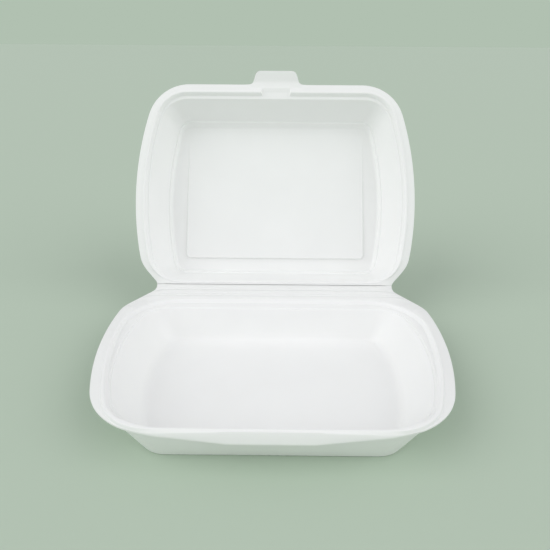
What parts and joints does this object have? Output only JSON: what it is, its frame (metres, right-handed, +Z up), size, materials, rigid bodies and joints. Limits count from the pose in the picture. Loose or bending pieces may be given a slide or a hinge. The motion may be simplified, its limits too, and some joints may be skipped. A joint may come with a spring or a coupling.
{
  "type": "foam clamshell container",
  "caption": "Hinged takeaway food container of white foam, standing open: a bowed tray and lid moulded as a single sheet, joined by a scored folding strip, with a locking tongue",
  "frame": {"origin": "on the table under the middle of the tray's floor", "axes": "+X is across to the right seen from the front, +Y is from the front edge toward the fold, +Z is up"},
  "size_m": [0.24, 0.2757, 0.1959],
  "materials": {
    "foam": "matte white expanded polystyrene foam with a fine closed-cell skin"
  },
  "bodies": {
    "base": {"base_tray": "foam"},
    "lid": {"lid": "foam"}
  },
  "joints": [
    {"name": "lid_hinge", "type": "hinge", "parent": "base", "child": "lid", "pos_m": [0, 0.0994, 0.0319], "axis": [1, 0, 0], "range_deg": [-50, 118.3]}
  ]
}
